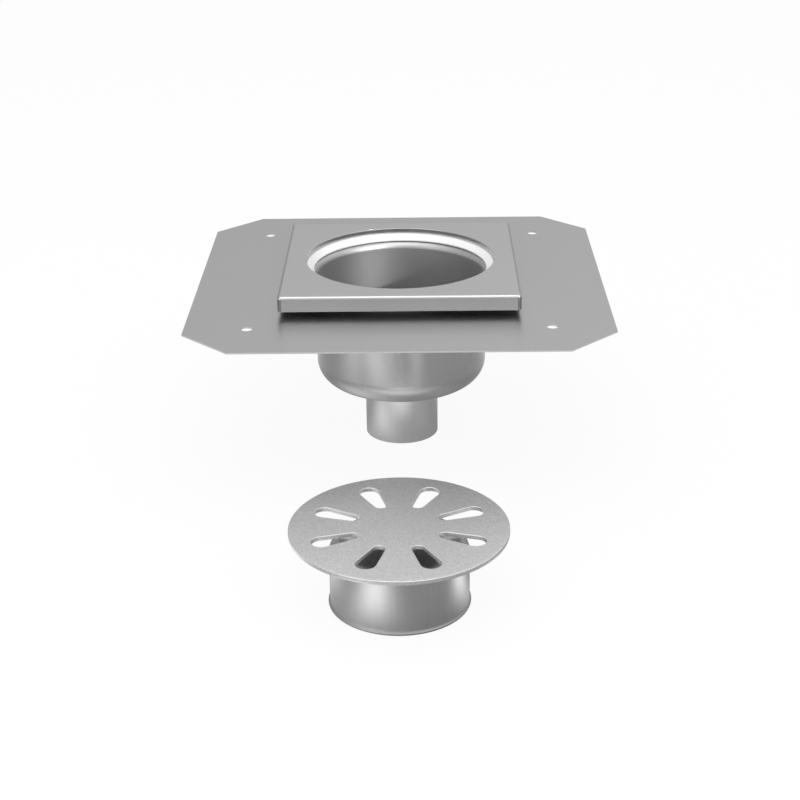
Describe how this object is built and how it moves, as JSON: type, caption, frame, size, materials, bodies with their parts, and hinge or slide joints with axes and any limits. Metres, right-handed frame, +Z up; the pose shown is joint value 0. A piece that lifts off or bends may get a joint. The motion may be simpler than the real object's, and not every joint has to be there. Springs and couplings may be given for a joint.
{
  "type": "floor drain",
  "caption": "Stainless steel floor drain: square top frame, membrane flange, deep drawn bowl with tube outlet, and a slotted round strainer with a trap bell, lifted out.",
  "frame": {"origin": "centre of the top frame's opening, level with its top face, which is the finished floor", "axes": "+Z up along the outlet's axis; +Y away from the strainer, which stands taken out on the -Y side; +X to the right, seen from the strainer"},
  "size_m": [0.262, 0.4195, 0.1232],
  "materials": {
    "frame_steel": "fine satin, rolled sheet",
    "bowl_steel": "drawn sheet, faint upright brushing",
    "flange_steel": "matt rolled sheet",
    "tube_steel": "fine satin tube",
    "seal_rubber": "white silicone, smooth",
    "strainer_steel": "glass-bead matt",
    "bell_steel": "bright drawn sheet"
  },
  "bodies": {
    "root": {"top_frame": "frame_steel", "drain_bowl": "bowl_steel", "membrane_flange": "flange_steel", "outlet_spigot": "tube_steel", "standpipe": "tube_steel", "seal_ring": "seal_rubber", "strainer_grate": "strainer_steel", "trap_bell": "bell_steel", "bell_bush": "strainer_steel"}
  },
  "joints": []
}
